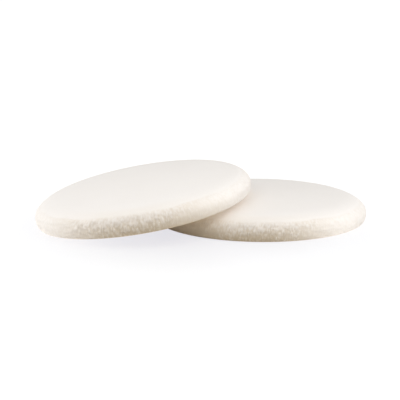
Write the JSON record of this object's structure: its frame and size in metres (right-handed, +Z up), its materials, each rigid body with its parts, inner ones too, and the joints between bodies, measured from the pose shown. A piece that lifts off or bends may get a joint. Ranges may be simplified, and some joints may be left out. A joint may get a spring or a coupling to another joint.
{
  "type": "makeup sponge",
  "caption": "Round, flat makeup sponges of soft foam with velour faces and rolled upper edges, for pressing powder onto skin, set down with a leaning sponge overlapping a flat sponge.",
  "frame": {"origin": "middle of the flat sponge's underside, on the surface that it lies on", "axes": "+Z up out of the flat sponge's top face; +X along the longest extent, from the leaning sponge's low side towards the flat sponge; +Y away from the viewer of the picture"},
  "size_m": [0.092, 0.0675, 0.0152],
  "materials": {
    "foam": "matte, fine streaked cut edge",
    "velour": "matte, short velvety nap",
    "adhesive": "satin film"
  },
  "bodies": {
    "lower_sponge": {"lower_foam_core": "foam", "lower_bottom_bond": "adhesive", "lower_bottom_facing": "velour"},
    "lower_top": {"lower_top_facing": "velour", "lower_top_bond": "adhesive"},
    "leaning_sponge": {"leaning_foam_core": "foam", "leaning_bottom_bond": "adhesive", "leaning_bottom_facing": "velour"},
    "leaning_top": {"leaning_top_facing": "velour", "leaning_top_bond": "adhesive"}
  },
  "joints": [
    {"name": "lower_press", "type": "slide", "parent": "lower_sponge", "child": "lower_top", "axis": [0, 0, -1], "range_m": [0, 0.002], "stiffness_N_per_m": 4000, "deforming": ["lower_foam_core"]},
    {"name": "leaning_lift", "type": "slide", "parent": "lower_sponge", "child": "leaning_sponge", "axis": [0, 0, 1], "range_m": [0, 0.05]},
    {"name": "leaning_press", "type": "slide", "parent": "leaning_sponge", "child": "leaning_top", "axis": [0.1659, 0.0383, -0.9854], "range_m": [0, 0.002], "stiffness_N_per_m": 4000, "deforming": ["leaning_foam_core"]}
  ]
}
